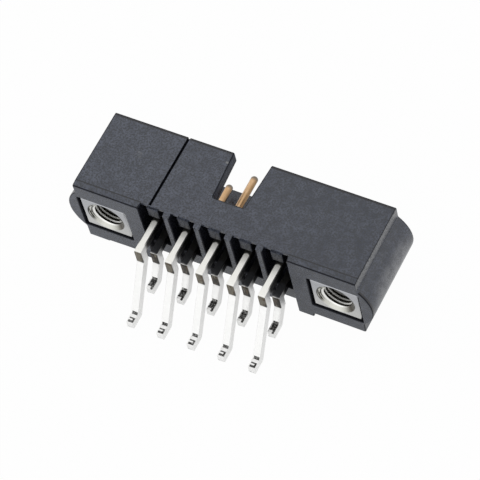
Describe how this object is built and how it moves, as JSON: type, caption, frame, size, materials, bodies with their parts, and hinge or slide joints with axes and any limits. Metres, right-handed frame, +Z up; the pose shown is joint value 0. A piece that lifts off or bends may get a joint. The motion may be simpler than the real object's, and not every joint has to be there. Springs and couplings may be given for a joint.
{
  "type": "right-angle pin header",
  "caption": "Shrouded right-angle pin header in black plastic, with formed surface-mount leads, a keyed mating cavity and a threaded insert in each rounded end lug.",
  "frame": {"origin": "under the middle of the bounding box, on the plane of the solder feet", "axes": "+X along the contact rows, +Y out of the mating face, +Z up from the board"},
  "size_m": [0.0198, 0.01, 0.0059],
  "materials": {
    "housing": "moulded thermoplastic with a fine matte texture",
    "contact": "copper alloy, tin plated outside the housing and gold plated on the mating pins",
    "insert": "bright nickel plate"
  },
  "bodies": {
    "root": {"housing": "housing", "insert_left": "insert", "insert_right": "insert", "contact_upper_1": "contact", "contact_upper_2": "contact", "contact_upper_3": "contact", "contact_upper_4": "contact", "contact_upper_5": "contact", "contact_lower_1": "contact", "contact_lower_2": "contact", "contact_lower_3": "contact", "contact_lower_4": "contact", "contact_lower_5": "contact"}
  },
  "joints": []
}
